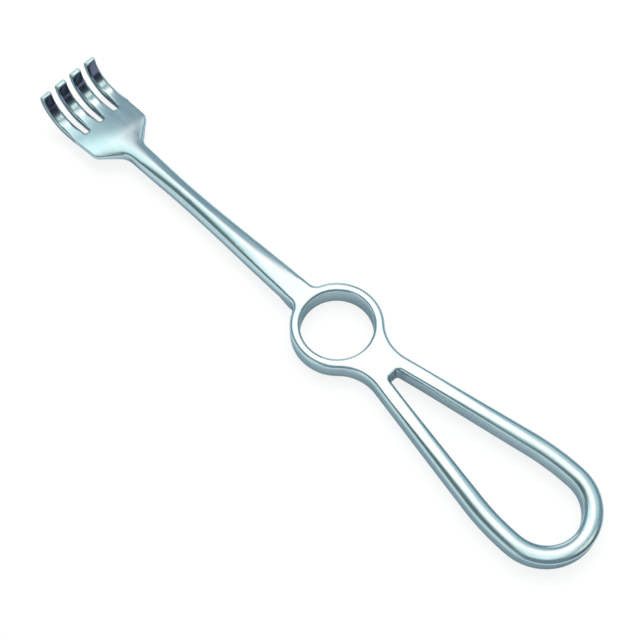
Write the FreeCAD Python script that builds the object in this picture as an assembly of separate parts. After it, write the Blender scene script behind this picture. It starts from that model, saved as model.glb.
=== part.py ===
import FreeCAD, Part
import math
import os

from FreeCAD import Vector

# A four prong rake retractor, forged in one piece from stainless steel.
# X runs along the instrument, with the rake at -X and the grip loop at +X.
# Y runs across it. Z is up, the way the prongs curl when it lies on a table.
# The origin is the centre of the finger ring, half way up its depth.
# Lengths are in millimetres and angles in degrees.

# Grip: a finger ring, a solid waist and a long open loop
GRIP_DEPTH = 7.7
GRIP_TOP_EDGE_RADIUS = 1.1
GRIP_UNDER_EDGE_RADIUS = 2.0
RING_BORE_RADIUS = 11.25
RING_BORE_EDGE_RADIUS = 0.9
RING_BAND = 3.1
WAIST_RADIUS = 13.5
ARM_WIDTH = 4.8
ARM_END_WIDTH = 5.6
ARM_OUTER_OFFSET = 2.2
LOOP_START = 23.1
LOOP_CORNER_RADIUS = 1.1
LOOP_SIDE_RADIUS = 80.0
LOOP_BEND_TURN = 1.5
LOOP_REACH = 98.5
LOOP_BEND_RADIUS = 16.7
LOOP_BEND_EDGE_RADIUS = 2.3
FORK_REACH = 31.0

# Shaft: its top runs level with the grip's, and it is nearly round at its waist
SHAFT_ROOT_WIDTH = 8.4
SHAFT_ROOT_DEPTH = 5.5
SHAFT_ROOT_SIDE_DEPTH = 5.2
SHAFT_ROOT_BLEND = 3.0
SHAFT_ROOT_LAND = 0.3
SHAFT_ROOT_RISE_LENGTH = 5.0
SHAFT_ROOT_EDGE_RADIUS = 1.4
SHAFT_TAPER_LENGTH = 50.0
SHAFT_WAIST_WIDTH = 6.1
SHAFT_WAIST_DEPTH = 6.0
SHAFT_WAIST_SIDE_DEPTH = 3.9
SHAFT_WAIST_EDGE_RADIUS = 1.9

# Rake plate: distances forward of the finger ring's centre, then its sizes
FRONT_REACH = 121.5
WAIST_END_TO_FRONT = 54.0
SHOULDER_TO_FRONT = 25.0
SLOT_END_TO_FRONT = 16.0
NECK_WIDTH = 6.8
NECK_DEPTH = 4.8
NECK_SIDE_DEPTH = 3.9
NECK_EDGE_RADIUS = 1.2
NECK_BLEND_RADIUS = 5.0
SHOULDER_ANGLE = 50.0
SHOULDER_RADIUS = 2.9
SHOULDER_DEPTH = 3.2
SHOULDER_SIDE_DEPTH = 1.7
SHOULDER_EDGE_RADIUS = 0.5
SIDE_FLARE = 1.3
SHOULDER_DIP = 0.3
PLATE_DIP = 1.35

# Prongs: cut from the plate by straight slots, then curled up past vertical
PRONG_COUNT = 4
PRONG_PITCH = 6.2
PRONG_WIDTH = 4.2
PRONG_TIP_WIDTH = 3.7
PRONG_ROOT_DEPTH = 2.5
PRONG_ROOT_SIDE_DEPTH = 1.9
PRONG_TIP_DEPTH = 2.4
PRONG_TIP_SIDE_DEPTH = 2.0
PRONG_EDGE_RADIUS = 0.4
PRONG_TIP_BACK_RADIUS = 1.7
PRONG_TIP_CORNER_RADIUS = 0.8
SLOT_END_RADIUS = 0.8
HOOK_RADIUS = 9.0
HOOK_SWEEP = 102.0

# Distances between the sections that the forging is drawn through
ROOT_STEP = 0.9
SHAFT_STEP = 1.5
FLARE_STEP = 0.9
PLATE_STEP = 1.5
HOOK_STEP = 9.0

# Places that follow from the sizes
half_grip = GRIP_DEPTH / 2
ring_radius = RING_BORE_RADIUS + RING_BAND
bend_centre = Vector(LOOP_REACH - LOOP_BEND_RADIUS, 0, 0)
bend_turn = math.radians(LOOP_BEND_TURN)
side_inward = Vector(-math.sin(bend_turn), -math.cos(bend_turn), 0)
side_centre = bend_centre + side_inward * (LOOP_SIDE_RADIUS - LOOP_BEND_RADIUS)
side_bearing = math.atan2(side_centre.y, side_centre.x)
arm_angle = side_bearing - math.asin((ARM_OUTER_OFFSET - LOOP_SIDE_RADIUS) / side_centre.Length)
arm_along = Vector(math.cos(arm_angle), math.sin(arm_angle), 0)
arm_across = Vector(-math.sin(arm_angle), math.cos(arm_angle), 0)
arm_inner_offset = ARM_OUTER_OFFSET - ARM_WIDTH
arm_end = arm_along.dot(side_centre)

root_half = SHAFT_ROOT_WIDTH / 2
root_blend_x = math.sqrt((ring_radius + SHAFT_ROOT_BLEND) ** 2 - (root_half + SHAFT_ROOT_BLEND) ** 2)
root_end = root_blend_x + SHAFT_ROOT_LAND

hook_start = FRONT_REACH - HOOK_RADIUS - PRONG_ROOT_DEPTH / 2
slot_end = FRONT_REACH - SLOT_END_TO_FRONT
outer_prong = (PRONG_COUNT - 1) * PRONG_PITCH / 2
rake_half = outer_prong + PRONG_WIDTH / 2
shoulder = FRONT_REACH - SHOULDER_TO_FRONT
shoulder_slope = math.tan(math.radians(SHOULDER_ANGLE))
flare_slope = math.tan(math.radians(SIDE_FLARE))
shoulder_half = rake_half - (hook_start - shoulder) * flare_slope
neck = shoulder - (shoulder_half - NECK_WIDTH / 2) / shoulder_slope
flare_start = neck - NECK_BLEND_RADIUS * math.tan(math.radians(SHOULDER_ANGLE / 2))
risen = root_end + SHAFT_ROOT_RISE_LENGTH
waist_start = root_end + SHAFT_TAPER_LENGTH
waist_end = FRONT_REACH - WAIST_END_TO_FRONT
plate_level = half_grip - PLATE_DIP - PRONG_ROOT_DEPTH / 2
hook_level = plate_level + HOOK_RADIUS
tip_top = hook_level - (HOOK_RADIUS + PRONG_TIP_DEPTH / 2) * math.cos(math.radians(HOOK_SWEEP))


def mirrored(point):
    return Vector(point.x, -point.y, point.z)


def arc_about(centre, radius, start, end):
    """The shorter arc from start to end about a centre."""
    middle = (start + end) / 2 - centre
    middle.normalize()
    return Part.Arc(start, centre + middle * radius, end).toShape()


def smooth(position, stages):
    """A curve through (position, value) stages that never runs past them."""
    places = [place for place, value in stages]
    values = [value for place, value in stages]
    if position <= places[0]:
        return values[0]
    if position >= places[-1]:
        return values[-1]
    rises = [(values[i + 1] - values[i]) / (places[i + 1] - places[i]) for i in range(len(places) - 1)]
    slopes = [0.0]
    for before, after in zip(rises, rises[1:]):
        steady = before * after > 0
        slopes.append(2 * before * after / (before + after) if steady else 0.0)
    slopes.append(0.0)
    i = max(k for k in range(len(rises)) if places[k] <= position)
    span = places[i + 1] - places[i]
    t = (position - places[i]) / span
    return (
        values[i] * (1 + 2 * t) * (1 - t) ** 2
        + slopes[i] * span * t * (1 - t) ** 2
        + values[i + 1] * t * t * (3 - 2 * t)
        + slopes[i + 1] * span * t * t * (t - 1)
    )


def rounded_corner(position, corner, height, slope_before, slope_after, radius):
    """Height of two sloping lines that meet at a corner of the given radius."""
    before = math.atan(slope_before)
    after = math.atan(slope_after)
    reach = radius * abs(math.tan((after - before) / 2))
    start = corner - reach * math.cos(before)
    end = corner + reach * math.cos(after)
    if position <= start:
        return height + slope_before * (position - corner)
    if position >= end:
        return height + slope_after * (position - corner)
    side = math.copysign(1, after - before)
    centre = start - side * radius * math.sin(before)
    centre_height = height + slope_before * (start - corner) + side * radius * math.cos(before)
    return centre_height - side * math.sqrt(radius ** 2 - (position - centre) ** 2)


def section(half_width, half_depth, half_side, radii, place):
    """A closed section: crowned top and bottom, upright sides and round corners.

    half_depth is taken at the middle and half_side at the sides. radii are those of
    the upper and the lower corners. place turns the section's own across and up
    distances into a point.
    """
    drop = half_depth - half_side
    crown = (half_width ** 2 + drop ** 2) / (2 * drop) if drop > 0 else 0

    def corner(radius):
        """Where a corner starts on the crown, its middle and where it ends on the side."""
        across = half_width - radius
        up = half_depth - radius
        lean = 0.0
        if drop > 0:
            centre = half_depth - crown
            up = centre + math.sqrt((crown - radius) ** 2 - across ** 2)
            lean = math.atan2(across, up - centre)
        knuckle = math.radians(45) + lean / 2
        start = (across + radius * math.sin(lean), up + radius * math.cos(lean))
        middle = (across + radius * math.sin(knuckle), up + radius * math.cos(knuckle))
        return start, middle, (half_width, up)

    def crown_edge(left, right, top):
        if drop > 0:
            return Part.Arc(left, top, right).toShape()
        return Part.makeLine(left, right)

    upper = corner(radii[0])
    lower = corner(radii[1])
    right_up = [place(across, up) for across, up in upper]
    right_down = [place(across, -up) for across, up in reversed(lower)]
    left_down = [place(-across, -up) for across, up in lower]
    left_up = [place(-across, up) for across, up in reversed(upper)]
    edges = [
        crown_edge(left_up[2], right_up[0], place(0, half_depth)),
        Part.Arc(*right_up).toShape(),
        Part.makeLine(right_up[2], right_down[0]),
        Part.Arc(*right_down).toShape(),
        crown_edge(right_down[2], left_down[0], place(0, -half_depth)),
        Part.Arc(*left_down).toShape(),
        Part.makeLine(left_down[2], left_up[0]),
        Part.Arc(*left_up).toShape(),
    ]
    return Part.Wire(edges)


def fork_outline():
    """Plan of the shaft's root, the ring, the waist and the first stretch of both arms."""
    root_centre = Vector(-root_blend_x, root_half + SHAFT_ROOT_BLEND, 0)
    root_on_ring = root_centre * (ring_radius / (ring_radius + SHAFT_ROOT_BLEND))
    root_on_shaft = Vector(-root_blend_x, root_half, 0)
    root_corner = Vector(-root_end, root_half, 0)

    waist_offset = ARM_OUTER_OFFSET + WAIST_RADIUS
    waist_along = math.sqrt((ring_radius + WAIST_RADIUS) ** 2 - waist_offset ** 2)
    waist_centre = arm_across * waist_offset + arm_along * waist_along
    waist_on_ring = waist_centre * (ring_radius / (ring_radius + WAIST_RADIUS))
    waist_on_arm = waist_centre - arm_across * WAIST_RADIUS
    arm_outer_end = arm_across * ARM_OUTER_OFFSET + arm_along * FORK_REACH
    arm_inner_end = arm_across * arm_inner_offset + arm_along * FORK_REACH

    corner_x = LOOP_START + LOOP_CORNER_RADIUS
    corner_offset = arm_inner_offset - LOOP_CORNER_RADIUS
    corner_y = (corner_offset - arm_across.x * corner_x) / arm_across.y
    corner_centre = Vector(corner_x, corner_y, 0)
    corner_on_arm = corner_centre + arm_across * LOOP_CORNER_RADIUS
    corner_on_end = Vector(LOOP_START, corner_y, 0)

    edges = [Part.makeLine(root_corner, mirrored(root_corner))]
    for turn in (lambda point: point, mirrored):
        edges.append(Part.makeLine(turn(root_corner), turn(root_on_shaft)))
        edges.append(arc_about(turn(root_centre), SHAFT_ROOT_BLEND, turn(root_on_shaft), turn(root_on_ring)))
        edges.append(arc_about(Vector(0, 0, 0), ring_radius, turn(root_on_ring), turn(waist_on_ring)))
        edges.append(arc_about(turn(waist_centre), WAIST_RADIUS, turn(waist_on_ring), turn(waist_on_arm)))
        edges.append(Part.makeLine(turn(waist_on_arm), turn(arm_outer_end)))
        edges.append(Part.makeLine(turn(arm_outer_end), turn(arm_inner_end)))
        edges.append(Part.makeLine(turn(arm_inner_end), turn(corner_on_arm)))
        edges.append(arc_about(turn(corner_centre), LOOP_CORNER_RADIUS, turn(corner_on_arm), turn(corner_on_end)))
    edges.append(Part.makeLine(corner_on_end, mirrored(corner_on_end)))
    return Part.Wire(Part.__sortEdges__(edges))


def is_long_edge(edge):
    """True for the level edges that are rounded: all but those at the cut ends."""
    middle = edge.valueAt((edge.FirstParameter + edge.LastParameter) / 2)
    level = edge.BoundBox.ZLength < 0.001
    at_root = abs(middle.x + root_end) < 0.001
    reach = max(arm_along.dot(middle), arm_along.dot(mirrored(middle)))
    at_arm_end = abs(reach - FORK_REACH) < 0.001 and edge.BoundBox.XLength < ARM_WIDTH
    return level and not at_root and not at_arm_end


def fork():
    """The ring, the waist and the roots of the shaft and arms, rounded over."""
    plan = Part.Face(fork_outline())
    plan.translate(Vector(0, 0, -half_grip))
    blank = plan.extrude(Vector(0, 0, GRIP_DEPTH))
    for side, radius in ((1, GRIP_TOP_EDGE_RADIUS), (-1, GRIP_UNDER_EDGE_RADIUS)):
        rim = [edge for edge in blank.Edges if is_long_edge(edge) and edge.BoundBox.Center.z * side > 0]
        blank = blank.makeFillet(radius, rim)
    blank = blank.cut(Part.makeCylinder(RING_BORE_RADIUS, GRIP_DEPTH, Vector(0, 0, -half_grip)))
    return blank.makeFillet(RING_BORE_EDGE_RADIUS, [edge for edge in blank.Edges if is_bore_rim(edge)])


def is_bore_rim(edge):
    """True for the two round edges of the finger ring's bore."""
    box = edge.BoundBox
    return box.ZLength < 0.001 and abs(box.XLength - 2 * RING_BORE_RADIUS) < 0.001


def arm_section(outer_point, outward, width, radii):
    """A section of an arm, given its outer point and the way that side faces."""
    middle = outer_point - outward * (width / 2)
    return section(
        width / 2,
        half_grip,
        half_grip,
        radii,
        lambda across, up: middle + outward * across + Vector(0, 0, up),
    )


def arm():
    """One arm of the loop: its straight, then the gentle curve that leads to the bend."""
    fork_radii = (GRIP_TOP_EDGE_RADIUS, GRIP_UNDER_EDGE_RADIUS)
    bend_radii = (LOOP_BEND_EDGE_RADIUS, LOOP_BEND_EDGE_RADIUS)
    first = arm_across * ARM_OUTER_OFFSET + arm_along * FORK_REACH
    last = arm_across * ARM_OUTER_OFFSET + arm_along * arm_end
    start = arm_section(first, arm_across, ARM_WIDTH, fork_radii)
    end = arm_section(last, arm_across, ARM_END_WIDTH, bend_radii)
    straight = Part.makeLoft([start, end], True, True)
    side = Part.Face(end).revolve(side_centre, Vector(0, 0, 1), -math.degrees(arm_angle + bend_turn))
    return [straight, side]


def loop_bend():
    """The round end of the loop, turned about its own centre."""
    outward = side_inward * -1
    radii = (LOOP_BEND_EDGE_RADIUS, LOOP_BEND_EDGE_RADIUS)
    start = arm_section(bend_centre + outward * LOOP_BEND_RADIUS, outward, ARM_END_WIDTH, radii)
    return Part.Face(start).revolve(bend_centre, Vector(0, 0, 1), 2 * math.degrees(bend_turn) - 180)


def half_width(reach):
    """Half the width of the shaft and the rake plate at a distance forward of the ring."""
    waist_half = SHAFT_WAIST_WIDTH / 2
    neck_half = NECK_WIDTH / 2
    if reach < flare_start:
        stages = [(root_end, root_half), (waist_start, waist_half), (waist_end, waist_half), (flare_start, neck_half)]
        return smooth(reach, stages)
    if reach < (neck + shoulder) / 2:
        return rounded_corner(reach, neck, neck_half, 0, shoulder_slope, NECK_BLEND_RADIUS)
    return rounded_corner(reach, shoulder, shoulder_half, shoulder_slope, flare_slope, SHOULDER_RADIUS)


def depth_at(reach):
    """Half depths at the middle and the sides, and the upper and lower corner radii."""
    places = (root_end, risen, waist_start, waist_end, flare_start, shoulder, slot_end, FRONT_REACH)
    middles = (
        GRIP_DEPTH, SHAFT_ROOT_DEPTH, SHAFT_WAIST_DEPTH, SHAFT_WAIST_DEPTH, NECK_DEPTH,
        SHOULDER_DEPTH, PRONG_ROOT_DEPTH, PRONG_ROOT_DEPTH,
    )
    sides = (
        GRIP_DEPTH, SHAFT_ROOT_SIDE_DEPTH, SHAFT_WAIST_SIDE_DEPTH, SHAFT_WAIST_SIDE_DEPTH, NECK_SIDE_DEPTH,
        SHOULDER_SIDE_DEPTH, PRONG_ROOT_SIDE_DEPTH, PRONG_ROOT_SIDE_DEPTH,
    )
    radii = (
        SHAFT_ROOT_EDGE_RADIUS, SHAFT_WAIST_EDGE_RADIUS, SHAFT_WAIST_EDGE_RADIUS, NECK_EDGE_RADIUS,
        SHOULDER_EDGE_RADIUS, PRONG_EDGE_RADIUS, PRONG_EDGE_RADIUS,
    )
    return (
        smooth(reach, list(zip(places, middles))) / 2,
        smooth(reach, list(zip(places, sides))) / 2,
        (
            smooth(reach, list(zip(places, (GRIP_TOP_EDGE_RADIUS,) + radii))),
            smooth(reach, list(zip(places, (GRIP_UNDER_EDGE_RADIUS,) + radii))),
        ),
    )


def level_at(reach):
    """Height of the section's middle: the top stays level, then dips to the plate."""
    dip = smooth(reach, [(waist_end, 0.0), (shoulder, SHOULDER_DIP), (hook_start, PLATE_DIP)])
    return half_grip - dip - depth_at(reach)[0]


def straight_section(reach):
    """An upright section of the shaft or the plate."""
    middle, side, radii = depth_at(reach)
    level = level_at(reach)
    return section(half_width(reach), middle, side, radii, lambda across, up: Vector(-reach, across, level + up))


def hook_height(angle, inward):
    """Height of a point that lies inward of the hook's middle line."""
    return hook_level - (HOOK_RADIUS - inward) * math.cos(math.radians(angle))


def prong_half(height):
    """Half a prong's width at a height, narrowing evenly from plate to tip."""
    share = (height - plate_level) / (hook_height(HOOK_SWEEP, 0) - plate_level)
    return (PRONG_WIDTH + (PRONG_TIP_WIDTH - PRONG_WIDTH) * share) / 2


def hook_section(angle):
    """A section of the hook, square to its curl."""
    share = angle / HOOK_SWEEP
    middle = (PRONG_ROOT_DEPTH + (PRONG_TIP_DEPTH - PRONG_ROOT_DEPTH) * share) / 2
    side = (PRONG_ROOT_SIDE_DEPTH + (PRONG_TIP_SIDE_DEPTH - PRONG_ROOT_SIDE_DEPTH) * share) / 2
    turn = math.radians(angle)
    centre = Vector(-hook_start, 0, hook_level)
    outward = Vector(-math.sin(turn), 0, -math.cos(turn))
    return section(
        outer_prong + prong_half(hook_height(angle, 0)),
        middle,
        side,
        (PRONG_EDGE_RADIUS, PRONG_EDGE_RADIUS),
        lambda across, up: centre + outward * (HOOK_RADIUS - up) + Vector(0, across, 0),
    )


def spread(start, end, step):
    """Even positions from start up to, but not at, end."""
    count = max(1, math.ceil((end - start) / step))
    return [start + (end - start) * i / count for i in range(count)]


def forged_bar():
    """Shaft, plate and curled rake, drawn through one run of sections."""
    flare_end = shoulder + SHOULDER_RADIUS
    reaches = spread(root_end, risen, ROOT_STEP)
    reaches += spread(risen, flare_start, SHAFT_STEP)
    reaches += spread(flare_start, flare_end, FLARE_STEP)
    reaches += spread(flare_end, hook_start, PLATE_STEP)
    sections = [straight_section(reach) for reach in reaches]
    sections += [hook_section(angle) for angle in spread(0, HOOK_SWEEP, HOOK_STEP) + [HOOK_SWEEP]]
    return Part.makeLoft(sections, True, False)


def gap(left, right):
    """The gap between two prongs, whose tips it rounds off at their corners."""
    low = -half_grip - 1
    corner = tip_top - PRONG_TIP_CORNER_RADIUS
    high = tip_top + GRIP_DEPTH
    edges = []
    for side, prong in ((1, left), (-1, right)):
        foot = Vector(-slot_end, prong + side * prong_half(low), low)
        wall_top = Vector(-slot_end, prong + side * prong_half(corner), corner)
        centre = wall_top - Vector(0, side * PRONG_TIP_CORNER_RADIUS, 0)
        over_tip = centre + Vector(0, 0, PRONG_TIP_CORNER_RADIUS)
        head = Vector(-slot_end, over_tip.y, high)
        edges.append(Part.makeLine(foot, wall_top))
        edges.append(arc_about(centre, PRONG_TIP_CORNER_RADIUS, wall_top, over_tip))
        edges.append(Part.makeLine(over_tip, head))
    edges.append(Part.makeLine(edges[0].Vertexes[0].Point, edges[3].Vertexes[0].Point))
    edges.append(Part.makeLine(edges[2].Vertexes[-1].Point, edges[5].Vertexes[-1].Point))
    front = Part.Face(Part.Wire(Part.__sortEdges__(edges)))
    blank = front.extrude(Vector(slot_end - FRONT_REACH - 5, 0, 0))
    ends = [edge for edge in blank.Edges if is_slot_corner(edge, corner)]
    return blank.makeFillet(SLOT_END_RADIUS, ends)


def is_slot_corner(edge, top):
    """True for the two upright corners at a slot's blind end."""
    box = edge.BoundBox
    at_end = box.XLength < 0.001 and abs(box.XMax + slot_end) < 0.001
    return at_end and box.ZLength > GRIP_DEPTH and box.ZMax < top + 0.001


def slots():
    """The gaps between the prongs."""
    prongs = [-outer_prong + i * PRONG_PITCH for i in range(PRONG_COUNT)]
    return [gap(left, right) for left, right in zip(prongs, prongs[1:])]


def tip_rounding():
    """What the rounding of the tips takes off their backs, right across the rake."""
    turn = math.radians(HOOK_SWEEP)
    outward = Vector(-math.sin(turn), 0, -math.cos(turn))
    ahead = Vector(-math.cos(turn), 0, math.sin(turn))
    across = Vector(0, -rake_half - 1, 0)
    middle_line = Vector(-hook_start, 0, hook_level) + outward * HOOK_RADIUS + across
    back = PRONG_TIP_DEPTH / 2
    end_point = middle_line + outward * (back - PRONG_TIP_BACK_RADIUS)
    centre = end_point - ahead * PRONG_TIP_BACK_RADIUS
    start = centre + outward * PRONG_TIP_BACK_RADIUS
    beyond = end_point + ahead * PRONG_TIP_BACK_RADIUS
    beside = start + outward * PRONG_TIP_BACK_RADIUS
    far_corner = beyond + (beside - centre)
    edges = [
        arc_about(centre, PRONG_TIP_BACK_RADIUS, start, end_point),
        Part.makeLine(end_point, beyond),
        Part.makeLine(beyond, far_corner),
        Part.makeLine(far_corner, beside),
        Part.makeLine(beside, start),
    ]
    profile = Part.Face(Part.Wire(Part.__sortEdges__(edges)))
    return profile.extrude(Vector(0, 2 * rake_half + 2, 0))


def retractor():
    upper_arm = arm()
    lower_arm = [piece.mirror(Vector(0, 0, 0), Vector(0, 1, 0)) for piece in upper_arm]
    rake = forged_bar().cut(slots() + [tip_rounding()])
    return rake.fuse([fork(), *upper_arm, *lower_arm, loop_bend()]).removeSplitter()


os.makedirs("parts", exist_ok=True)
retractor().Solids[0].exportStep("parts/retractor.step")
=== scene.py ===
import math

import bpy
import numpy as np
from mathutils import Matrix, Vector, geometry, kdtree


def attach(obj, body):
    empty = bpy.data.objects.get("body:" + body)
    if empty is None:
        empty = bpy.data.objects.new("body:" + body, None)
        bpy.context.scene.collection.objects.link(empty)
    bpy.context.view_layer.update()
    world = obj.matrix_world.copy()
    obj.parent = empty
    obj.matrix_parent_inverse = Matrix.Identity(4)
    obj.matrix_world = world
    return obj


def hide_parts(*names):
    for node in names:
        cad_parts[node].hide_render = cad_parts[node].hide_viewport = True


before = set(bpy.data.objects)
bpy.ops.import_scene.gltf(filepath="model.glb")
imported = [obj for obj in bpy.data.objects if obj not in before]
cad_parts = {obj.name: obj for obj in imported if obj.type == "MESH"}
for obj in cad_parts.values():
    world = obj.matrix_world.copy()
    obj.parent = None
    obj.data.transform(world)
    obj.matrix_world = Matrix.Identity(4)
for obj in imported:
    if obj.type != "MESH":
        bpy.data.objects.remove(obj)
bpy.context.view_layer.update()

# A rake retractor forged in one piece: four curled prongs, a shaft, a finger ring and a palm loop.
# The ring is round the z axis, the loop lies toward +x and the rake toward -x.
# Sizes are in millimetres and degrees, and each reach is measured from the z axis.
MM = 0.001

# Finger ring, waist and palm loop
GRIP_DEPTH = 7.7
GRIP_TOP_EDGE_RADIUS = 1.1
GRIP_UNDER_EDGE_RADIUS = 2.0
RING_BORE_RADIUS = 11.25
RING_BORE_EDGE_RADIUS = 0.9
RING_BAND = 3.1
WAIST_RADIUS = 13.5
ARM_WIDTH = 4.8
ARM_END_WIDTH = 5.6
ARM_OUTER_OFFSET = 2.2
FORK_REACH = 31.0
LOOP_START = 23.1
LOOP_CORNER_RADIUS = 1.1
LOOP_SIDE_RADIUS = 80.0
LOOP_BEND_TURN = 1.5
LOOP_REACH = 98.5
LOOP_BEND_RADIUS = 16.7
LOOP_BEND_EDGE_RADIUS = 2.3
LOOP_BEND_CROWN_WIDTH = 2.6
LOOP_BEND_CROWN_DEPTH = 1.3

# Shaft
SHAFT_ROOT_WIDTH = 8.4
SHAFT_ROOT_DEPTH = 5.5
SHAFT_ROOT_SIDE_DEPTH = 5.2
SHAFT_ROOT_BLEND = 3.0
SHAFT_ROOT_LAND = 0.3
SHAFT_ROOT_RISE_LENGTH = 5.0
SHAFT_ROOT_EDGE_RADIUS = 1.4
SHAFT_TAPER_LENGTH = 50.0
SHAFT_WAIST_WIDTH = 6.1
SHAFT_WAIST_DEPTH = 6.0
SHAFT_WAIST_SIDE_DEPTH = 3.9
SHAFT_WAIST_EDGE_RADIUS = 1.9

# Neck and rake plate
FRONT_REACH = 121.5
WAIST_END_TO_FRONT = 54.0
SHOULDER_TO_FRONT = 25.0
SLOT_END_TO_FRONT = 16.0
NECK_WIDTH = 6.8
NECK_DEPTH = 4.8
NECK_SIDE_DEPTH = 3.9
NECK_EDGE_RADIUS = 1.2
NECK_BLEND_RADIUS = 5.0
SHOULDER_ANGLE = 50.0
SHOULDER_RADIUS = 2.9
SHOULDER_DEPTH = 3.2
SHOULDER_SIDE_DEPTH = 1.7
SHOULDER_EDGE_RADIUS = 0.5
SIDE_FLARE = 1.3
SHOULDER_DIP = 0.3
PLATE_DIP = 1.35

# Prongs
PRONG_COUNT = 4
PRONG_PITCH = 6.2
PRONG_WIDTH = 4.2
PRONG_TIP_WIDTH = 3.7
PRONG_ROOT_DEPTH = 2.5
PRONG_ROOT_SIDE_DEPTH = 1.9
PRONG_TIP_DEPTH = 2.4
PRONG_TIP_SIDE_DEPTH = 2.0
PRONG_EDGE_RADIUS = 0.4
PRONG_INNER_EDGE_RADIUS = 1.1
PRONG_INNER_TIP_EDGE_RADIUS = 0.7
PRONG_TIP_BACK_RADIUS = 1.7
PRONG_TIP_CORNER_RADIUS = 0.8
SLOT_END_RADIUS = 0.8
HOOK_RADIUS = 9.0
HOOK_SWEEP = 102.0

# How the surface's points are spaced and joined, and the signs of its top and underside
ARC_STEP = 0.55
CORNER_STEP = 0.16
STRAIGHT_STEP = 1.1
SHORT_STEP = 0.3
LEAST_ARC_POINTS = 3
FLARE_STEP = 0.22
END_STEP = 0.2
FILL_STEP = 0.5
FILL_MARGIN = 0.2
FILL_CLEARANCE = 0.28
FILL_INTO_RING = 2.5
SLOPE_STEP = 0.05
LEAST_GAP = 0.02
LEAST_DROP = 1e-9
MERGE_DISTANCE = 1e-7
EDGE_ROWS = 9
WALL_ROWS = 3
MOST_LEAN = 45.0
TEST_BATCH = 2000
NORMAL_WEIGHT = 60
TOP = 1
UNDERSIDE = -1

# Places that follow from the sizes of ring and loop
half_grip = GRIP_DEPTH / 2
ring_radius = RING_BORE_RADIUS + RING_BAND
bend_x = LOOP_REACH - LOOP_BEND_RADIUS
bend_bearing = 90 - LOOP_BEND_TURN
bend_turn = math.radians(LOOP_BEND_TURN)
bend_away = np.array([math.sin(bend_turn), math.cos(bend_turn)])
side_centre = np.array([bend_x, 0.0]) - bend_away * (LOOP_SIDE_RADIUS - LOOP_BEND_RADIUS)
side_bearing = math.atan2(side_centre[1], side_centre[0])
arm_angle = side_bearing - math.asin((ARM_OUTER_OFFSET - LOOP_SIDE_RADIUS) / np.linalg.norm(side_centre))
arm_along = np.array([math.cos(arm_angle), math.sin(arm_angle)])
arm_across = np.array([-math.sin(arm_angle), math.cos(arm_angle)])
arm_end = float(arm_along @ side_centre)

# Places that follow from the sizes of shaft and rake
root_half = SHAFT_ROOT_WIDTH / 2
root_blend_x = math.sqrt((ring_radius + SHAFT_ROOT_BLEND) ** 2 - (root_half + SHAFT_ROOT_BLEND) ** 2)
root_end = root_blend_x + SHAFT_ROOT_LAND
risen = root_end + SHAFT_ROOT_RISE_LENGTH
hook_start = FRONT_REACH - HOOK_RADIUS - PRONG_ROOT_DEPTH / 2
slot_end = FRONT_REACH - SLOT_END_TO_FRONT
outer_prong = (PRONG_COUNT - 1) * PRONG_PITCH / 2
rake_half = outer_prong + PRONG_WIDTH / 2
shoulder = FRONT_REACH - SHOULDER_TO_FRONT
shoulder_slope = math.tan(math.radians(SHOULDER_ANGLE))
flare_slope = math.tan(math.radians(SIDE_FLARE))
shoulder_half = rake_half - (hook_start - shoulder) * flare_slope
neck = shoulder - (shoulder_half - NECK_WIDTH / 2) / shoulder_slope
flare_start = neck - NECK_BLEND_RADIUS * math.tan(math.radians(SHOULDER_ANGLE / 2))
waist_start = root_end + SHAFT_TAPER_LENGTH
waist_end = FRONT_REACH - WAIST_END_TO_FRONT
plate_level = half_grip - PLATE_DIP - PRONG_ROOT_DEPTH / 2
hook_level = plate_level + HOOK_RADIUS
hook_turn = math.radians(HOOK_SWEEP)
tip_reach = hook_start + HOOK_RADIUS * hook_turn

# Depth along the reach: each place with the depth there, in the middle and at the sides
MIDDLE_DEPTHS = (
    (root_end, GRIP_DEPTH),
    (risen, SHAFT_ROOT_DEPTH),
    (waist_start, SHAFT_WAIST_DEPTH),
    (waist_end, SHAFT_WAIST_DEPTH),
    (flare_start, NECK_DEPTH),
    (shoulder, SHOULDER_DEPTH),
    (slot_end, PRONG_ROOT_DEPTH),
    (hook_start, PRONG_ROOT_DEPTH),
    (tip_reach, PRONG_TIP_DEPTH),
)
SIDE_DEPTHS = (
    (root_end, GRIP_DEPTH),
    (risen, SHAFT_ROOT_SIDE_DEPTH),
    (waist_start, SHAFT_WAIST_SIDE_DEPTH),
    (waist_end, SHAFT_WAIST_SIDE_DEPTH),
    (flare_start, NECK_SIDE_DEPTH),
    (shoulder, SHOULDER_SIDE_DEPTH),
    (slot_end, PRONG_ROOT_SIDE_DEPTH),
    (hook_start, PRONG_ROOT_SIDE_DEPTH),
    (tip_reach, PRONG_TIP_SIDE_DEPTH),
)


def smooth(position, stages):
    """A curve through (position, value) stages that never runs past them, for arrays."""
    places = np.array([place for place, value in stages], float)
    values = np.array([value for place, value in stages], float)
    rises = np.diff(values) / np.diff(places)
    product = rises[:-1] * rises[1:]
    total = rises[:-1] + rises[1:]
    steady = product > 0
    inner = np.where(steady, 2 * product / np.where(steady, total, 1), 0.0)
    slopes = np.concatenate([[0.0], inner, [0.0]])
    x = np.clip(np.asarray(position, float), places[0], places[-1])
    i = np.clip(np.searchsorted(places, x, side="right") - 1, 0, len(rises) - 1)
    span = places[i + 1] - places[i]
    t = (x - places[i]) / span
    return (
        values[i] * (1 + 2 * t) * (1 - t) ** 2
        + slopes[i] * span * t * (1 - t) ** 2
        + values[i + 1] * t * t * (3 - 2 * t)
        + slopes[i + 1] * span * t * t * (t - 1)
    )


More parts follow.
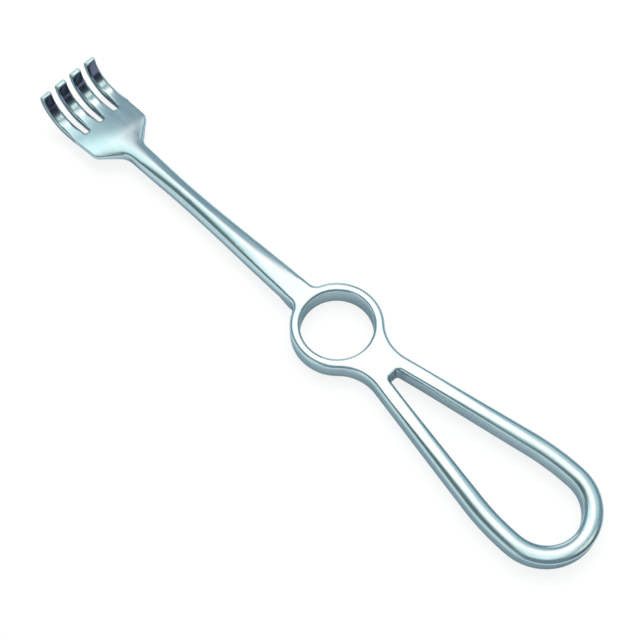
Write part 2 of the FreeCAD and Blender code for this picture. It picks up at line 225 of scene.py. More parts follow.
def rounded_corner(position, corner, height, slope_before, slope_after, radius):
    """Height of two sloping lines that meet at a corner of the given radius, for arrays."""
    before = math.atan(slope_before)
    after = math.atan(slope_after)
    tangent = radius * abs(math.tan((after - before) / 2))
    start = corner - tangent * math.cos(before)
    end = corner + tangent * math.cos(after)
    side = math.copysign(1, after - before)
    centre = start - side * radius * math.sin(before)
    centre_height = height + slope_before * (start - corner) + side * radius * math.cos(before)
    bow = np.sqrt(np.maximum(radius ** 2 - (position - centre) ** 2, 0))
    line_before = height + slope_before * (position - corner)
    line_after = height + slope_after * (position - corner)
    rounded = np.where(position >= end, line_after, centre_height - side * bow)
    return np.where(position <= start, line_before, rounded)


def prong_half(reach):
    """Half a prong's width, narrowing evenly with height from plate to tip."""
    turn = np.clip((reach - hook_start) / HOOK_RADIUS, 0, hook_turn)
    share = (1 - np.cos(turn)) / (1 - math.cos(hook_turn))
    return (PRONG_WIDTH + (PRONG_TIP_WIDTH - PRONG_WIDTH) * share) / 2


def half_width(reach):
    """Half the width of the shaft, the rake plate and the row of prongs, for arrays of reach.

    Here and below, reach is the distance from the z axis toward the rake.
    """
    waist_half = SHAFT_WAIST_WIDTH / 2
    neck_half = NECK_WIDTH / 2
    shaft = smooth(reach, (
        (root_end, root_half),
        (waist_start, waist_half),
        (waist_end, waist_half),
        (flare_start, neck_half),
    ))
    inner = rounded_corner(reach, neck, neck_half, 0, shoulder_slope, NECK_BLEND_RADIUS)
    outer = rounded_corner(reach, shoulder, shoulder_half, shoulder_slope, flare_slope, SHOULDER_RADIUS)
    plate = np.where(reach < (neck + shoulder) / 2, inner, outer)
    plate = np.where(reach < hook_start, plate, outer_prong + prong_half(reach))
    return np.where(reach < flare_start, shaft, plate)


def crowned(x, y, side):
    """Height of the top, or depth of the underside, from the middle line."""
    reach = -x
    middle = smooth(reach, MIDDLE_DEPTHS) / 2
    edge = smooth(reach, SIDE_DEPTHS) / 2
    drop = np.maximum(middle - edge, LEAST_DROP)
    half = half_width(np.maximum(reach, root_end))
    crown = (half ** 2 + drop ** 2) / (2 * drop)
    across = np.clip(np.abs(y), 0, half)
    height = middle - crown + np.sqrt(np.maximum(crown ** 2 - across ** 2, 0))
    height = np.where(reach <= root_end, half_grip, height)
    if side == UNDERSIDE:
        left = np.clip(tip_reach - reach, 0, PRONG_TIP_BACK_RADIUS)
        rise = np.sqrt(PRONG_TIP_BACK_RADIUS ** 2 - (PRONG_TIP_BACK_RADIUS - left) ** 2)
        height = height - (PRONG_TIP_BACK_RADIUS - rise)
    return height


def level(reach):
    """Height of the middle line, whose top stays level and then dips to the plate."""
    dip = smooth(reach, [(waist_end, 0.0), (shoulder, SHOULDER_DIP), (hook_start, PLATE_DIP)])
    return half_grip - dip - smooth(reach, MIDDLE_DEPTHS) / 2


def placed(x, y, up):
    """Points of the plan, with the curl taken up, at a height above the middle line."""
    reach = -x
    turn = np.maximum(reach - hook_start, 0) / HOOK_RADIUS
    on_hook = reach > hook_start
    radius = HOOK_RADIUS - up
    px = np.where(on_hook, -hook_start - radius * np.sin(turn), x)
    pz = np.where(on_hook, hook_level - radius * np.cos(turn), level(reach) + up)
    return np.stack([px, y, pz], 1)


def surface(plan, height, side):
    """Points of the top or underside, over points of the plan."""
    return placed(plan[:, 0], plan[:, 1], height * side)


def arc(centre, radius, start, end, step):
    """Points of an arc between two bearings in degrees, without its last point."""
    count = max(LEAST_ARC_POINTS, math.ceil(abs(math.radians(end - start)) * radius / step))
    turns = np.radians(np.linspace(start, end, count, endpoint=False))
    return np.stack([centre[0] + radius * np.cos(turns), centre[1] + radius * np.sin(turns)], 1)


def line(start, end, step):
    """Points of a straight run, without its last point."""
    start = np.asarray(start, float)
    end = np.asarray(end, float)
    count = max(1, math.ceil(np.linalg.norm(end - start) / step))
    shares = np.linspace(0, 1, count, endpoint=False)[:, None]
    return start + (end - start) * shares


def bearing(point, centre):
    """The bearing in degrees at which a point lies from a centre."""
    return math.degrees(math.atan2(point[1] - centre[1], point[0] - centre[0]))


def arm_place(along, across):
    """A point of the plan, measured along and across the upper arm."""
    return arm_across * across + arm_along * along


def grip_runs():
    """The outline's upper half from the loop's far end, along the arm and round the ring."""
    middle = (0, 0)
    arm_last = arm_place(arm_end, ARM_OUTER_OFFSET)
    waist_offset = ARM_OUTER_OFFSET + WAIST_RADIUS
    waist_along = math.sqrt((ring_radius + WAIST_RADIUS) ** 2 - waist_offset ** 2)
    waist = arm_place(waist_along, waist_offset)
    waist_on_ring = waist * (ring_radius / (ring_radius + WAIST_RADIUS))
    waist_on_arm = waist - arm_across * WAIST_RADIUS
    root = np.array([-root_blend_x, root_half + SHAFT_ROOT_BLEND])
    root_on_ring = root * (ring_radius / (ring_radius + SHAFT_ROOT_BLEND))
    ring_start = bearing(waist_on_ring, middle)
    ring_end = bearing(root_on_ring, middle)
    return [
        arc((bend_x, 0), LOOP_BEND_RADIUS, 0, bend_bearing, ARC_STEP),
        arc(side_centre, LOOP_SIDE_RADIUS, bend_bearing, bearing(arm_last, side_centre), ARC_STEP),
        line(arm_last, waist_on_arm, STRAIGHT_STEP),
        arc(waist, WAIST_RADIUS, bearing(waist_on_arm, waist), bearing(waist_on_ring, waist), ARC_STEP),
        arc(middle, ring_radius, ring_start, ring_end, ARC_STEP),
        arc(root, SHAFT_ROOT_BLEND, bearing(root_on_ring, root), -90, SHORT_STEP),
        line((-root_blend_x, root_half), (-root_end, root_half), SHORT_STEP),
    ]


def shaft_run():
    """The outline's upper half along the shaft and the rake plate, to the roots of the prongs."""
    reaches = np.concatenate([
        np.arange(root_end, flare_start, ARC_STEP),
        np.arange(flare_start, shoulder + SHOULDER_RADIUS, FLARE_STEP),
        np.arange(shoulder + SHOULDER_RADIUS, slot_end, ARC_STEP),
    ])
    return np.stack([-reaches, half_width(reaches)], 1)


def slot_runs(wall, at_middle):
    """A slot's blind end, from one of its walls to the other or to the rake's middle."""
    corner_x = -(slot_end + SLOT_END_RADIUS)
    start = wall - SLOT_END_RADIUS
    end = wall - (PRONG_PITCH - PRONG_WIDTH) + SLOT_END_RADIUS
    first = arc((corner_x, start), SLOT_END_RADIUS, 90, 0, CORNER_STEP)
    if at_middle:
        return [first, line((-slot_end, start), (-slot_end, 0), END_STEP)]
    flat = line((-slot_end, start), (-slot_end, end), END_STEP)
    return [first, flat, arc((corner_x, end), SLOT_END_RADIUS, 0, -90, CORNER_STEP)]


def prong_runs(index):
    """One prong's outline from its outer root over its tip to the end of the next slot."""
    middle = outer_prong - index * PRONG_PITCH
    corner = PRONG_TIP_CORNER_RADIUS
    outer = middle + PRONG_TIP_WIDTH / 2 - corner
    inner = middle - PRONG_TIP_WIDTH / 2 + corner
    slot_corner = slot_end + SLOT_END_RADIUS
    corner_reach = tip_reach - corner
    up = np.arange(slot_corner if index else slot_end, corner_reach, ARC_STEP)
    down = np.arange(corner_reach, slot_corner, -ARC_STEP)
    prong = [
        np.stack([-up, middle + prong_half(up)], 1),
        arc((-corner_reach, outer), corner, 90, 180, CORNER_STEP),
        line((-tip_reach, outer), (-tip_reach, inner), SHORT_STEP),
        arc((-corner_reach, inner), corner, 180, 270, CORNER_STEP),
        np.stack([-down, middle - prong_half(down)], 1),
    ]
    return prong + slot_runs(middle - PRONG_WIDTH / 2, index == PRONG_COUNT // 2 - 1)


def outer_half():
    """The outline's upper half, from the loop's far end round to the rake's middle."""
    prongs = [run for index in range(PRONG_COUNT // 2) for run in prong_runs(index)]
    return np.concatenate(grip_runs() + [shaft_run()] + prongs)


def loop_half():
    """The palm hole's upper half, from its narrow end to its far end."""
    inner_offset = ARM_OUTER_OFFSET - ARM_WIDTH
    corner_x = LOOP_START + LOOP_CORNER_RADIUS
    corner_y = (inner_offset - LOOP_CORNER_RADIUS - arm_across[0] * corner_x) / arm_across[1]
    corner = np.array([corner_x, corner_y])
    corner_end = corner + arm_across * LOOP_CORNER_RADIUS
    fork = arm_place(FORK_REACH, inner_offset)
    last = arm_place(arm_end, ARM_OUTER_OFFSET - ARM_END_WIDTH)
    side_radius = LOOP_SIDE_RADIUS - ARM_END_WIDTH
    return np.concatenate([
        line((LOOP_START, 0), (LOOP_START, corner_y), END_STEP),
        arc(corner, LOOP_CORNER_RADIUS, 180, bearing(corner_end, corner), CORNER_STEP),
        line(corner_end, fork, STRAIGHT_STEP),
        line(fork, last, STRAIGHT_STEP),
        arc(side_centre, side_radius, bearing(last, side_centre), bend_bearing, ARC_STEP),
        arc((bend_x, 0), LOOP_BEND_RADIUS - ARM_END_WIDTH, bend_bearing, 0, ARC_STEP),
    ])


def closed(half, far):
    """A half outline, its far point and its mirror image as one loop without doubled points."""
    mirror = half[1:][::-1] * np.array([1, -1])
    loop = np.concatenate([half, [far], mirror])
    gap = np.linalg.norm(loop - np.roll(loop, 1, 0), axis=1)
    return loop[gap > LEAST_GAP]


def anticlockwise(loop):
    """Whether a loop runs anticlockwise, seen from above."""
    after = np.roll(loop, -1, 0)
    return np.sum(loop[:, 0] * after[:, 1] - after[:, 0] * loop[:, 1]) > 0


def outward(loop, metal_inside):
    """Unit normals that point out of the metal."""
    ahead = np.roll(loop, -1, 0) - loop
    behind = loop - np.roll(loop, 1, 0)
    ahead /= np.linalg.norm(ahead, axis=1)[:, None]
    behind /= np.linalg.norm(behind, axis=1)[:, None]
    along = ahead + behind
    along /= np.linalg.norm(along, axis=1)[:, None]
    to_the_right = np.stack([along[:, 1], -along[:, 0]], 1)
    return to_the_right if anticlockwise(loop) == metal_inside else -to_the_right


def arm_share(x, y):
    """How far along the arms a place lies, from 0 at the fork to 1 where the loop's sides start to curve."""
    along = x * arm_along[0] + np.abs(y) * arm_along[1]
    return np.clip((along - FORK_REACH) / (arm_end - FORK_REACH), 0, 1)


def shaft_edge_radius(reach, side):
    """Radius of the rounding along the shaft, the plate and the prongs."""
    on_top = side == TOP
    return smooth(reach, (
        (root_end, GRIP_TOP_EDGE_RADIUS if on_top else GRIP_UNDER_EDGE_RADIUS),
        (risen, SHAFT_ROOT_EDGE_RADIUS),
        (waist_start, SHAFT_WAIST_EDGE_RADIUS),
        (waist_end, SHAFT_WAIST_EDGE_RADIUS),
        (flare_start, NECK_EDGE_RADIUS),
        (shoulder, SHOULDER_EDGE_RADIUS),
        (slot_end, PRONG_EDGE_RADIUS),
        (hook_start, PRONG_INNER_EDGE_RADIUS if on_top else PRONG_EDGE_RADIUS),
        (tip_reach, PRONG_INNER_TIP_EDGE_RADIUS if on_top else PRONG_EDGE_RADIUS),
    ))


def edge_width(x, y, side, bore):
    """How far in from the outline the rounding of the edge starts."""
    if bore:
        return np.full(len(x), RING_BORE_EDGE_RADIUS)
    grip = GRIP_TOP_EDGE_RADIUS if side == TOP else GRIP_UNDER_EDGE_RADIUS
    bend = LOOP_BEND_CROWN_WIDTH if side == TOP else LOOP_BEND_EDGE_RADIUS
    return np.where(x > 0, grip + (bend - grip) * arm_share(x, y), shaft_edge_radius(-x, side))


def edge_depth(x, y, side, bore):
    """Depth of the rounding, which is flatter than a circle over the top of the bend."""
    width = edge_width(x, y, side, bore)
    if bore or side == UNDERSIDE:
        return width
    crown = GRIP_TOP_EDGE_RADIUS + (LOOP_BEND_CROWN_DEPTH - GRIP_TOP_EDGE_RADIUS) * arm_share(x, y)
    return np.where(x > 0, crown, width)


def slope_outward(x, y, normal, side):
    """How steeply the crown falls towards the edge, as an angle."""
    here = crowned(x, y, side)
    further_in = crowned(x - normal[:, 0] * SLOPE_STEP, y - normal[:, 1] * SLOPE_STEP, side)
    return np.arctan(np.maximum((further_in - here) / SLOPE_STEP, 0))


def rim_rows(loop, normal, side, bore):
    """Rows of the edge rounding, from the crown to the wall, each with its height."""
    x, y = loop[:, 0], loop[:, 1]
    width = edge_width(x, y, side, bore)
    depth = edge_depth(x, y, side, bore)
    probe = loop - normal * (width / 2)[:, None]
    lean = slope_outward(probe[:, 0], probe[:, 1], normal, side)
    lean = np.minimum(lean, math.radians(MOST_LEAN))
    start = loop - normal * (width * (1 - np.sin(lean)))[:, None]
    base = crowned(start[:, 0], start[:, 1], side) - depth * np.cos(lean)
    rows = []
    for k in range(EDGE_ROWS + 1):
        turn = lean + (math.pi / 2 - lean) * k / EDGE_ROWS
        place = loop - normal * (width * (1 - np.sin(turn)))[:, None]
        rows.append((place, base + depth * np.cos(turn)))
    return rows


class Shell:
    """Collects points and faces of the closed surface."""

    def __init__(self):
        self.points = []
        self.faces = []
        self.count = 0

    def add(self, points):
        """Adds points and returns their numbers."""
        first = self.count
        self.points.append(points)
        self.count += len(points)
        return np.arange(first, first + len(points))

    def bands(self, rows, flip):
        """Quads between neighbours of several closed rows of the same length."""
        for a, b in zip(rows, rows[1:]):
            quads = np.stack([a, np.roll(a, -1), np.roll(b, -1), b], 1)
            self.faces += (quads[:, ::-1] if flip else quads).tolist()


def inside(points, loops):
    """Even-odd test of points against closed loops."""
    odd = np.zeros(len(points), bool)
    px, py = points[:, 0][:, None], points[:, 1][:, None]
    for loop in loops:
        x0, y0 = loop[:, 0], loop[:, 1]
        x1, y1 = np.roll(x0, -1), np.roll(y0, -1)
        for first in range(0, len(points), TEST_BATCH):
            part = slice(first, first + TEST_BATCH)
            spans = (y0 > py[part]) != (y1 > py[part])
            with np.errstate(divide="ignore", invalid="ignore"):
                crossing = x0 + (py[part] - y0) * (x1 - x0) / (y1 - y0)
            odd[part] ^= (np.sum(spans & (px[part] < crossing), axis=1) % 2).astype(bool)
    return odd


def filling(loops):
    """Plan points inside the shaft, the plate and the prongs, clear of the loops."""
    xs = np.arange(-tip_reach + FILL_MARGIN, -root_end + FILL_INTO_RING, FILL_STEP)
    ys = np.arange(-rake_half + FILL_MARGIN, rake_half, FILL_STEP)
    grid_x, grid_y = np.meshgrid(xs, ys)
    grid_x = grid_x + np.where(np.arange(len(ys))[:, None] % 2, FILL_STEP / 2, 0.0)
    points = np.stack([grid_x.ravel(), grid_y.ravel()], 1)
    points = points[inside(points, loops)]
    edge = np.concatenate(loops)
    tree = kdtree.KDTree(len(edge))
    for i, (x, y) in enumerate(edge):
        tree.insert((x, y, 0), i)
    tree.balance()
    clear = [tree.find((x, y, 0))[2] > FILL_CLEARANCE for x, y in points]
    return points[np.array(clear)]


def triangles_between(plan, loops):
    """Triangles of plan points that fill the metal between the loops, which come first in the plan."""
    edges = []
    first = 0
    for loop in loops:
        count = len(loop)
        edges += [(first + i, first + (i + 1) % count) for i in range(count)]
        first += count
    corners = [Vector((float(x), float(y))) for x, y in plan]
    made = geometry.delaunay_2d_cdt(corners, edges, [], 0, MERGE_DISTANCE)
    places = np.array([[place.x, place.y] for place in made[0]])
    triangles = np.array([face for face in made[2] if len(face) == 3])
    plan_index = np.array([origin[0] if len(origin) else -1 for origin in made[3]])
    triangles = triangles[inside(places[triangles].mean(1), loops)]
    triangles = plan_index[triangles]
    return triangles[(triangles >= 0).all(1)]


def face_over(shell, loops, indices, side):
    """Fills the top or the underside between the innermost rows."""
    extra = filling(loops)
    extra_index = shell.add(surface(extra, crowned(extra[:, 0], extra[:, 1], side), side))
    plan = np.concatenate(loops + [extra])
    index = np.concatenate(indices + [extra_index])
    triangles = triangles_between(plan, loops)
    a, b, c = plan[triangles[:, 0]], plan[triangles[:, 1]], plan[triangles[:, 2]]
    area = (b[:, 0] - a[:, 0]) * (c[:, 1] - a[:, 1]) - (b[:, 1] - a[:, 1]) * (c[:, 0] - a[:, 0])
    triangles = np.where((area * side > 0)[:, None], triangles, triangles[:, ::-1])
    shell.faces += index[triangles].tolist()


def add_rim(shell, loop, metal_inside, bore):
    """Adds a loop's two rounded edges and its wall. Returns both innermost rows as (plan, numbers)."""
    normal = outward(loop, metal_inside)
    turned_in = anticlockwise(loop) == metal_inside
    innermost = {}
    lowest = {}
    for side in (TOP, UNDERSIDE):
        rows = rim_rows(loop, normal, side, bore)
        numbers = [shell.add(surface(place, height, side)) for place, height in rows]
        shell.bands(numbers, flip=(side == TOP) == turned_in)
        innermost[side] = (rows[0][0], numbers[0])
        lowest[side] = (numbers[-1], rows[-1][1])
    above, high = lowest[TOP]
    below, low = lowest[UNDERSIDE]
    wall = [above]
    for k in range(1, WALL_ROWS):
        wall.append(shell.add(placed(loop[:, 0], loop[:, 1], high - (low + high) * k / WALL_ROWS)))
    wall.append(below)
    shell.bands(wall, flip=turned_in)
    return innermost


def build():
    """The whole retractor as one closed surface."""
    outline = closed(outer_half(), (-slot_end, 0.0))
    palm_hole = closed(loop_half(), (bend_x + LOOP_BEND_RADIUS - ARM_END_WIDTH, 0.0))
    finger_hole = arc((0, 0), RING_BORE_RADIUS, 0, 360, ARC_STEP)
    shell = Shell()
    rims = [
        add_rim(shell, outline, metal_inside=True, bore=False),
        add_rim(shell, palm_hole, metal_inside=False, bore=False),
        add_rim(shell, finger_hole, metal_inside=False, bore=True),
    ]
    for side in (TOP, UNDERSIDE):
        loops = [rim[side][0] for rim in rims]
        indices = [rim[side][1] for rim in rims]
        face_over(shell, loops, indices, side)
    return shell


def make_mesh(name, shell):
    """A smooth shaded object with the shell's points, in metres."""
    mesh = bpy.data.meshes.new(name)
    points = np.concatenate(shell.points) * MM
    mesh.from_pydata(points.tolist(), [], shell.faces)
    mesh.validate()
    mesh.polygons.foreach_set("use_smooth", [True] * len(mesh.polygons))
    mesh.update()
    made = bpy.data.objects.new(name, mesh)
    bpy.context.scene.collection.objects.link(made)
    return made


retractor = make_mesh("forged_retractor", build())
weighted = retractor.modifiers.new("weighted", "WEIGHTED_NORMAL")
weighted.mode = "FACE_AREA_WITH_ANGLE"
weighted.weight = NORMAL_WEIGHT
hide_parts("retractor")
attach(retractor, "root")


class Nodes:
    """Adds shader nodes to a tree."""

    def __init__(self, tree):
        self.tree = tree

    def add(self, kind, inputs, **properties):
        """A node with its properties set. An input is given a value or linked to another's output."""
        made = self.tree.nodes.new("ShaderNode" + kind)
        for name, value in properties.items():
            setattr(made, name, value)
        for name, value in inputs.items():
            self.feed(made.inputs[name], value)
        return made

    def feed(self, socket, value):
        """Links an output to a socket, or sets the socket's own value."""
        if isinstance(value, bpy.types.NodeSocket):
            self.tree.links.new(value, socket)
        else:
            socket.default_value = value

    def spread(self, value, start, end, low=0.0, high=1.0):
        """A value that runs evenly from low to high as another goes from start to end."""
        inputs = {"Value": value, "From Min": start, "From Max": end, "To Min": low, "To Max": high}
        return self.add("MapRange", inputs).outputs["Result"]

    def fade(self, value, start, end, high=1.0):
        """A value that runs softly from 0 to high as another goes from start to end."""
        inputs = {"Value": value, "From Min": start, "From Max": end, "To Max": high}
        return self.add("MapRange", inputs, interpolation_type="SMOOTHSTEP").outputs["Result"]

    def work_out(self, operation, *values):
        """The result of an operation on one or two values."""
        return self.add("Math", dict(enumerate(values)), operation=operation).outputs[0]

    def blend(self, share, under, over):
        """One colour laid over another."""
        inputs = {"Factor": share, "A": under, "B": over}
        return self.add("Mix", inputs, data_type="RGBA").outputs["Result"]

    def noise(self, place, scale, detail, roughness):
        """The value of a cloudy noise at a place."""
        inputs = {"Vector": place, "Scale": scale, "Detail": detail, "Roughness": roughness}
        return self.add("TexNoise", inputs).outputs["Fac"]

    def split(self, vector):
        """The three outputs X, Y and Z of a vector."""
        return self.add("SeparateXYZ", {"Vector": vector}).outputs


# Steel: colours, and where each of them shows
CLOUD_DARK = (0.41, 0.51, 0.54, 1)
CLOUD_LIGHT = (0.47, 0.57, 0.60, 1)
CLOUDS_PER_METRE = 90.0
CLOUD_DETAIL = 3.0
CLOUD_ROUGHNESS = 0.5
CLOUD_BETWEEN = (0.3, 0.7)
GRAZING_TINT = (0.48, 0.58, 0.64, 1)
# The tips' lighter colour is a painted highlight, laid over their rougher satin finish
TIP_PAINTED_HIGHLIGHT = (0.72, 0.86, 0.86, 1)
TIP_FADE = 1.0
# Painted shade on the sideways walls of the slots and prongs, from the slots' blind ends outward
PAINTED_SLOT_SHADE = (0.14, 0.18, 0.20, 1)
SLOT_WALL_SHARE = 0.8
SLOT_WALL_SIDEWAYS = (0.6, 0.9)
SLOT_WALL_FADE = 1.0
# Painted shade inside the prongs' curl, where it faces the handle
PAINTED_CURL_SHADE = (0.12, 0.13, 0.18, 1)
CURL_TOWARD_HANDLE = (0.58, 0.82)
CURL_FADE = 2.0
WORN_EDGE = (0.60, 0.68, 0.70, 1)
WORN_SHARE = 0.6
WORN_POINTINESS = (0.51, 0.58)

# Steel: grain and gloss
GRAIN_PER_METRE = (60, 900, 900)
GRAIN_DETAIL = 5.0
GRAIN_ROUGHNESS = 0.6
GRAIN_BETWEEN = (0.3, 0.7)
POLISHED_ROUGHNESS = (0.17, 0.25)
GROUND_ROUGHNESS = 0.5
GRAIN_BUMP = 0.06
GRAIN_DEPTH = 0.00005


def cloudy_tone(nodes, place):
    """A tone that drifts a little from place to place."""
    cloud = nodes.noise(place, CLOUDS_PER_METRE, CLOUD_DETAIL, CLOUD_ROUGHNESS)
    tone = nodes.add("ValToRGB", {"Fac": cloud})
    ends = zip(tone.color_ramp.elements, CLOUD_BETWEEN, (CLOUD_DARK, CLOUD_LIGHT))
    for element, position, colour in ends:
        element.position = position
        element.color = colour
    return tone.outputs["Color"]


def steel_colour(nodes, place, on_tip):
    """Cloudy steel with worn edges, a painted highlight on the tips, and painted shade on the slot walls and
    inside the curl.
    """
    shape = nodes.add("NewGeometry", {}).outputs
    facing = nodes.split(shape["Normal"])
    along = nodes.split(place)["X"]
    # The tips get a painted highlight in their colour
    colour = nodes.blend(on_tip, cloudy_tone(nodes, place), TIP_PAINTED_HIGHLIGHT)

    # Painted shade on the sideways walls from the slots' blind ends outward
    sideways = nodes.fade(nodes.work_out("ABSOLUTE", facing["Y"]), *SLOT_WALL_SIDEWAYS)
    slot_fade = -(slot_end + SLOT_WALL_FADE) * MM
    in_slots = nodes.fade(along, -slot_end * MM, slot_fade, SLOT_WALL_SHARE)
    colour = nodes.blend(nodes.work_out("MULTIPLY", sideways, in_slots), colour, PAINTED_SLOT_SHADE)

    # Painted shade inside the curl, where it faces the handle
    toward_handle = nodes.fade(facing["X"], *CURL_TOWARD_HANDLE)
    in_curl = nodes.fade(along, -hook_start * MM, -(hook_start + CURL_FADE) * MM)
    colour = nodes.blend(nodes.work_out("MULTIPLY", toward_handle, in_curl), colour, PAINTED_CURL_SHADE)

    worn = nodes.spread(shape["Pointiness"], *WORN_POINTINESS, high=WORN_SHARE)
    return nodes.blend(worn, colour, WORN_EDGE)


def steel():
    """Bright satin steel with polish lines along the forging, and rougher satin ground tips that carry a
    painted highlight.
    """
    material = bpy.data.materials.new("satin_steel")
    material.use_nodes = True
    nodes = Nodes(material.node_tree)
    shader = material.node_tree.nodes["Principled BSDF"].inputs
    shader["Metallic"].default_value = 1.0
    shader["Specular Tint"].default_value = GRAZING_TINT

    place = nodes.add("TexCoord", {}).outputs["Object"]
    height = nodes.split(place)["Z"]
    on_tip = nodes.fade(height, hook_level * MM, (hook_level + TIP_FADE) * MM)
    nodes.feed(shader["Base Color"], steel_colour(nodes, place, on_tip))

    stretched = nodes.add("Mapping", {"Vector": place, "Scale": GRAIN_PER_METRE}).outputs["Vector"]
    grain = nodes.noise(stretched, 1.0, GRAIN_DETAIL, GRAIN_ROUGHNESS)
    polished = nodes.spread(grain, *GRAIN_BETWEEN, *POLISHED_ROUGHNESS)
    ground = nodes.spread(on_tip, 0.0, 1.0, high=GROUND_ROUGHNESS)
    nodes.feed(shader["Roughness"], nodes.work_out("MAXIMUM", polished, ground))

    bump = nodes.add("Bump", {"Strength": GRAIN_BUMP, "Distance": GRAIN_DEPTH, "Height": grain})
    nodes.feed(shader["Normal"], bump.outputs["Normal"])
    return material


retractor.data.materials.append(steel())

# Camera: the place that it looks at, the turn of its right side about the z axis, its elevation,
# distance, lens and sensor, in millimetres and degrees, and its nearest and farthest sight in metres
CAMERA_AIM = (-4.6506, -2.6158, half_grip)
CAMERA_TURN = 44.17505
CAMERA_ELEVATION = 64.631
CAMERA_DISTANCE = 421.526
CAMERA_LENS = 78.75
CAMERA_SENSOR = 36
CAMERA_NEAR = 0.01
CAMERA_FAR = 20

# The room's directions to the right, to the back and up, as the camera stands in it
RIGHT = Vector((math.cos(math.radians(CAMERA_TURN)), math.sin(math.radians(CAMERA_TURN)), 0))
BACK = Vector((-RIGHT.y, RIGHT.x, 0))
UP = Vector((0, 0, 1))


def toward(right, back, up):
    """A direction in the room."""
    return (RIGHT * right + BACK * back + UP * up).normalized()


def camera():
    """The camera, which looks down at the instrument from its handle's side."""
    lift = math.radians(CAMERA_ELEVATION)
    away = toward(0, math.cos(lift), -math.sin(lift))
    top = RIGHT.cross(away)
    data = bpy.data.cameras.new("camera")
    data.sensor_width = CAMERA_SENSOR
    data.lens = CAMERA_LENS
    data.clip_start = CAMERA_NEAR
    data.clip_end = CAMERA_FAR
    made = bpy.data.objects.new("camera", data)
    axes = Matrix((RIGHT, top, -away)).transposed()
    place = (Vector(CAMERA_AIM) - away * CAMERA_DISTANCE) * MM
    made.matrix_world = Matrix.Translation(place) @ axes.to_4x4()
    bpy.context.scene.collection.objects.link(made)
    bpy.context.scene.camera = made


camera()

# Floor: half its width in metres, its colour, how white it is seen, and the part of that white
# which the steel mirrors
FLOOR_HALF = 4.0
FLOOR_COLOUR = (0.80, 0.82, 0.84, 1)
FLOOR_WHITE = (1, 1, 1, 1)
FLOOR_WHITE_SHARE = 0.86
FLOOR_MIRRORED_SHARE = 0.3


def floor_material():
    """A pale ground that keeps a faint shadow. It is seen nearly white, and mirrored less so."""
    material = bpy.data.materials.new("floor")
    material.use_nodes = True
    material.node_tree.nodes.clear()
    nodes = Nodes(material.node_tree)
    path = nodes.add("LightPath", {}).outputs
    mirrored = nodes.work_out("MULTIPLY", path["Is Glossy Ray"], FLOOR_MIRRORED_SHARE)
    seen = nodes.work_out("MAXIMUM", path["Is Camera Ray"], mirrored)
    seen = nodes.work_out("MAXIMUM", seen, path["Is Transmission Ray"])
    share = nodes.work_out("MULTIPLY", seen, FLOOR_WHITE_SHARE)
    paper = nodes.add("BsdfDiffuse", {"Color": FLOOR_COLOUR}).outputs[0]
    white = nodes.add("Emission", {"Color": FLOOR_WHITE, "Strength": 1.0}).outputs[0]
    mixed = nodes.add("MixShader", {"Fac": share, 1: paper, 2: white}).outputs[0]
    nodes.add("OutputMaterial", {"Surface": mixed})
    return material


def floor():
    """A plain white floor under the instrument."""
    corners = ((-1, -1), (1, -1), (1, 1), (-1, 1))
    mesh = bpy.data.meshes.new("floor")
    places = [(x * FLOOR_HALF, y * FLOOR_HALF, -half_grip * MM) for x, y in corners]
    mesh.from_pydata(places, [], [(0, 1, 2, 3)])
    mesh.materials.append(floor_material())
    made = bpy.data.objects.new("floor", mesh)
    bpy.context.scene.collection.objects.link(made)


floor()

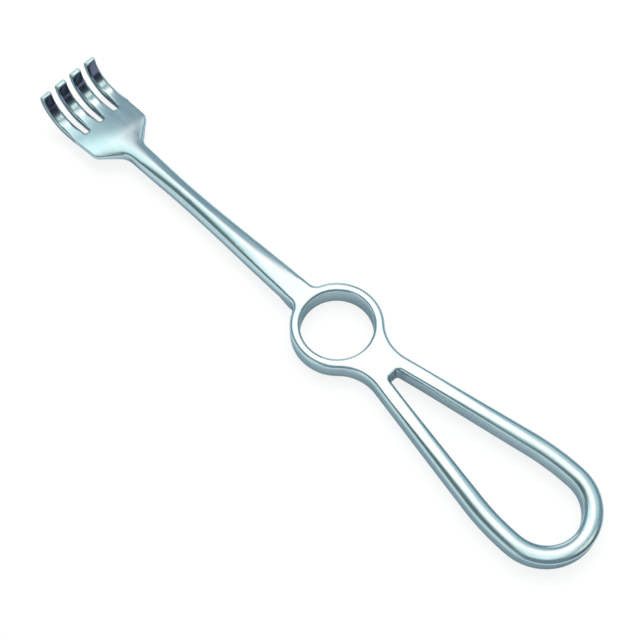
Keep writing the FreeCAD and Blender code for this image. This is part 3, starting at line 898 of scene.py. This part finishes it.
# The room's colour, and soft round patches of light and dark over it. Each has its direction to the
# right, back and up, its radius and the width of its soft rim in degrees, and its colour.
ROOM_COLOUR = (0.31, 0.45, 0.53, 1)
ROOM_PATCHES = (
    ((-0.15, 0.94, 0.30), 13, 10, (1.2, 1.35, 1.35, 1)),
    ((0.36, 0.58, 0.73), 9, 7, (0.8, 1.0, 1.02, 1)),
    ((-0.85, -0.45, 0.35), 24, 18, (1.0, 1.2, 1.2, 1)),
    ((0.10, -0.75, 0.65), 24, 14, (0.28, 0.36, 0.40, 1)),
    ((0.86, -0.41, 0.30), 20, 10, (0.15, 0.19, 0.22, 1)),
    ((0.59, -0.12, 0.79), 4, 11, (1.7, 1.7, 1.5, 1)),
    ((-0.02, 0.0, 1.0), 14, 11, (1.65, 1.78, 1.7, 1)),
    ((-0.50, -0.03, 0.86), 18, 10, (0.20, 0.25, 0.25, 1)),
    ((0.38, 0.44, 0.79), 12, 9, (0.9, 1.12, 1.14, 1)),
    ((-0.30, 0.43, 0.86), 6, 10, (1.6, 1.9, 1.85, 1)),
    ((-0.08, 0.5, 0.86), 3, 6, (2.5, 2.1, 2.0, 1)),
    ((0.09, 0.36, 0.93), 9, 5, (2.5, 2.1, 2.0, 1)),
)


def patch_share(nodes, place, direction, radius, rim):
    """How much of a round patch shows: all within its radius, and none past its rim."""
    inputs = {0: place, 1: toward(*direction)}
    nearness = nodes.add("VectorMath", inputs, operation="DOT_PRODUCT").outputs["Value"]
    return nodes.fade(nearness, math.cos(math.radians(radius + rim)), math.cos(math.radians(radius)))


def studio():
    """A dim blue room with soft lights behind, above and to the left, and darker patches between."""
    world = bpy.data.worlds.new("studio")
    bpy.context.scene.world = world
    world.use_nodes = True
    world.node_tree.nodes.clear()
    nodes = Nodes(world.node_tree)
    place = nodes.add("TexCoord", {}).outputs["Generated"]
    colour = ROOM_COLOUR
    for direction, radius, rim, patch_colour in ROOM_PATCHES:
        share = patch_share(nodes, place, direction, radius, rim)
        colour = nodes.blend(share, colour, patch_colour)
    background = nodes.add("Background", {"Color": colour, "Strength": 1.0}).outputs[0]
    nodes.add("OutputWorld", {"Surface": background})


studio()

# Lamp: its direction in the room, its distance and size in metres, and its power in watts
LAMP_DIRECTION = (0.0, 0.4, 0.9)
LAMP_DISTANCE = 1.2
LAMP_SIZE = 0.8
LAMP_WATTS = 12


def lamp():
    """A soft square lamp high above the object that casts its shadow and isn't mirrored in the steel."""
    direction = toward(*LAMP_DIRECTION)
    data = bpy.data.lights.new("key", "AREA")
    data.shape = "SQUARE"
    data.size = LAMP_SIZE
    data.energy = LAMP_WATTS
    made = bpy.data.objects.new("key", data)
    made.location = direction * LAMP_DISTANCE
    made.rotation_euler = (-direction).to_track_quat("-Z", "Y").to_euler()
    made.visible_glossy = False
    bpy.context.scene.collection.objects.link(made)


lamp()

bpy.context.scene.view_settings.view_transform = "Standard"
